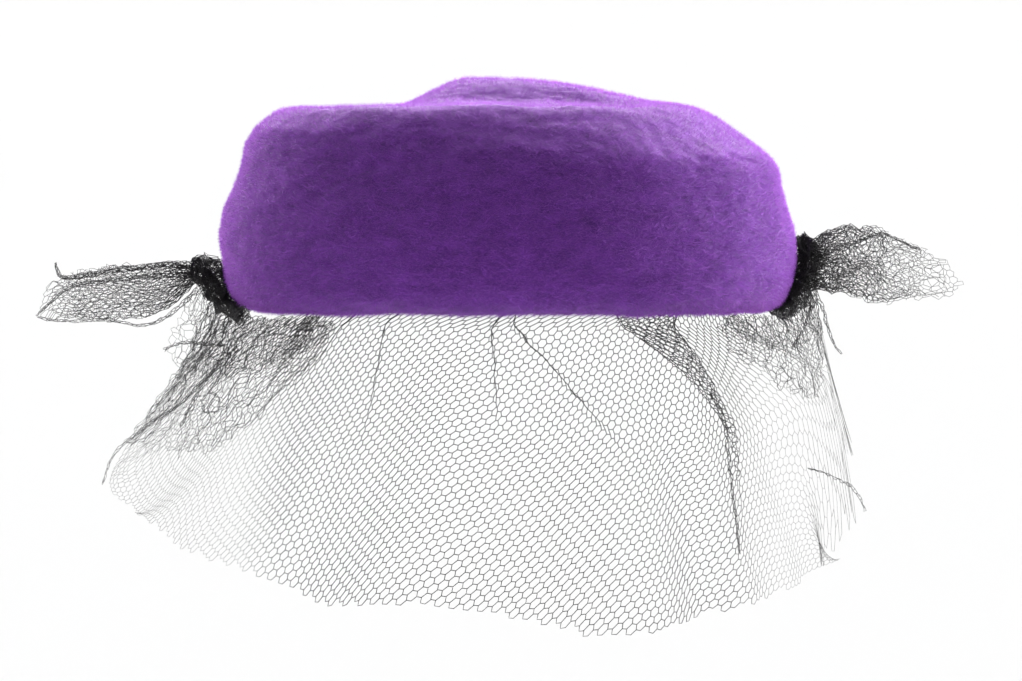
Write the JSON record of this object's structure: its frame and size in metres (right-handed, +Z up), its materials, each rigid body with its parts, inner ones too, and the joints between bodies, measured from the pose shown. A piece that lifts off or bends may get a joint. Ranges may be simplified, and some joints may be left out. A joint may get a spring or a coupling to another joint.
{
  "type": "pillbox hat with a net veil",
  "caption": "Soft velour-felt pillbox hat with a softly dented, domed tip, a turned-in lower edge and a gathered net face veil knotted at both sides.",
  "frame": {"origin": "middle of the head opening, level with the lower edge at the front, where the hat sits on the head", "axes": "+Z up through the tip, -Y towards the wearer's face and the front of the veil, +X along the line through both side knots"},
  "size_m": [0.3376, 0.2378, 0.187],
  "materials": {
    "felt": "purple velour felt with a long brushed nap",
    "net": "fine black hexagonal millinery net"
  },
  "bodies": {
    "root": {"felt_crown": "felt", "net_veil": "net", "flounce_left": "net", "flounce_right": "net", "knot_left": "net", "knot_right": "net", "tail_left": "net", "tail_right": "net"}
  },
  "joints": []
}
